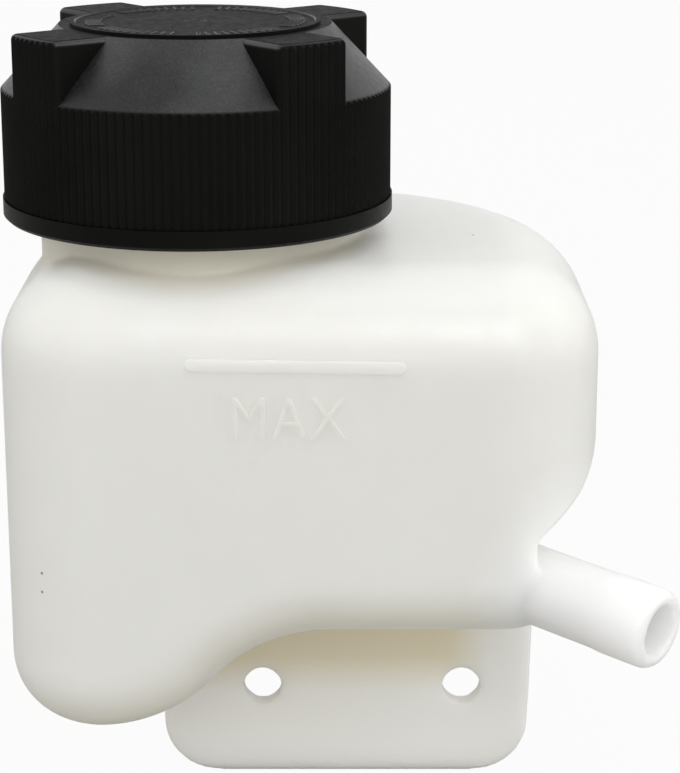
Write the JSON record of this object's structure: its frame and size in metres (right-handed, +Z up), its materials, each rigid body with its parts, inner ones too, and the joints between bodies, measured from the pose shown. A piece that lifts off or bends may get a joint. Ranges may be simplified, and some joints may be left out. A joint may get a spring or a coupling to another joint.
{
  "type": "coolant expansion tank",
  "caption": "Translucent moulded coolant expansion tank with a ribbed black screw cap, a slanted hose spout, a raised level mark and a bolt flange below.",
  "frame": {"origin": "midway between the two bolt holes, on the back face of the flange", "axes": "+X towards the spout side, +Y out of the flange's back face, +Z up along the neck"},
  "size_m": [0.1189, 0.1074, 0.1444],
  "materials": {
    "tank": "milky translucent",
    "cap": "fine grained black",
    "seal": "matt"
  },
  "bodies": {
    "tank": {"tank_body": "tank", "hose_spout": "tank"},
    "seal": {"cap_seal": "seal"},
    "cap": {"screw_cap": "cap"}
  },
  "joints": [
    {"name": "cap_lift", "type": "slide", "parent": "tank", "child": "seal", "axis": [0, 0, 1], "range_m": [0, 0.0125]},
    {"name": "cap_turn", "type": "hinge", "parent": "seal", "child": "cap", "pos_m": [-0.0298, -0.002, 0.111], "axis": [0, 0, 1], "range_deg": [0, 900]}
  ],
  "couplings": [
    {"joint": "cap_lift", "follows": "cap_turn", "m_per_rad": 0.00079577}
  ]
}
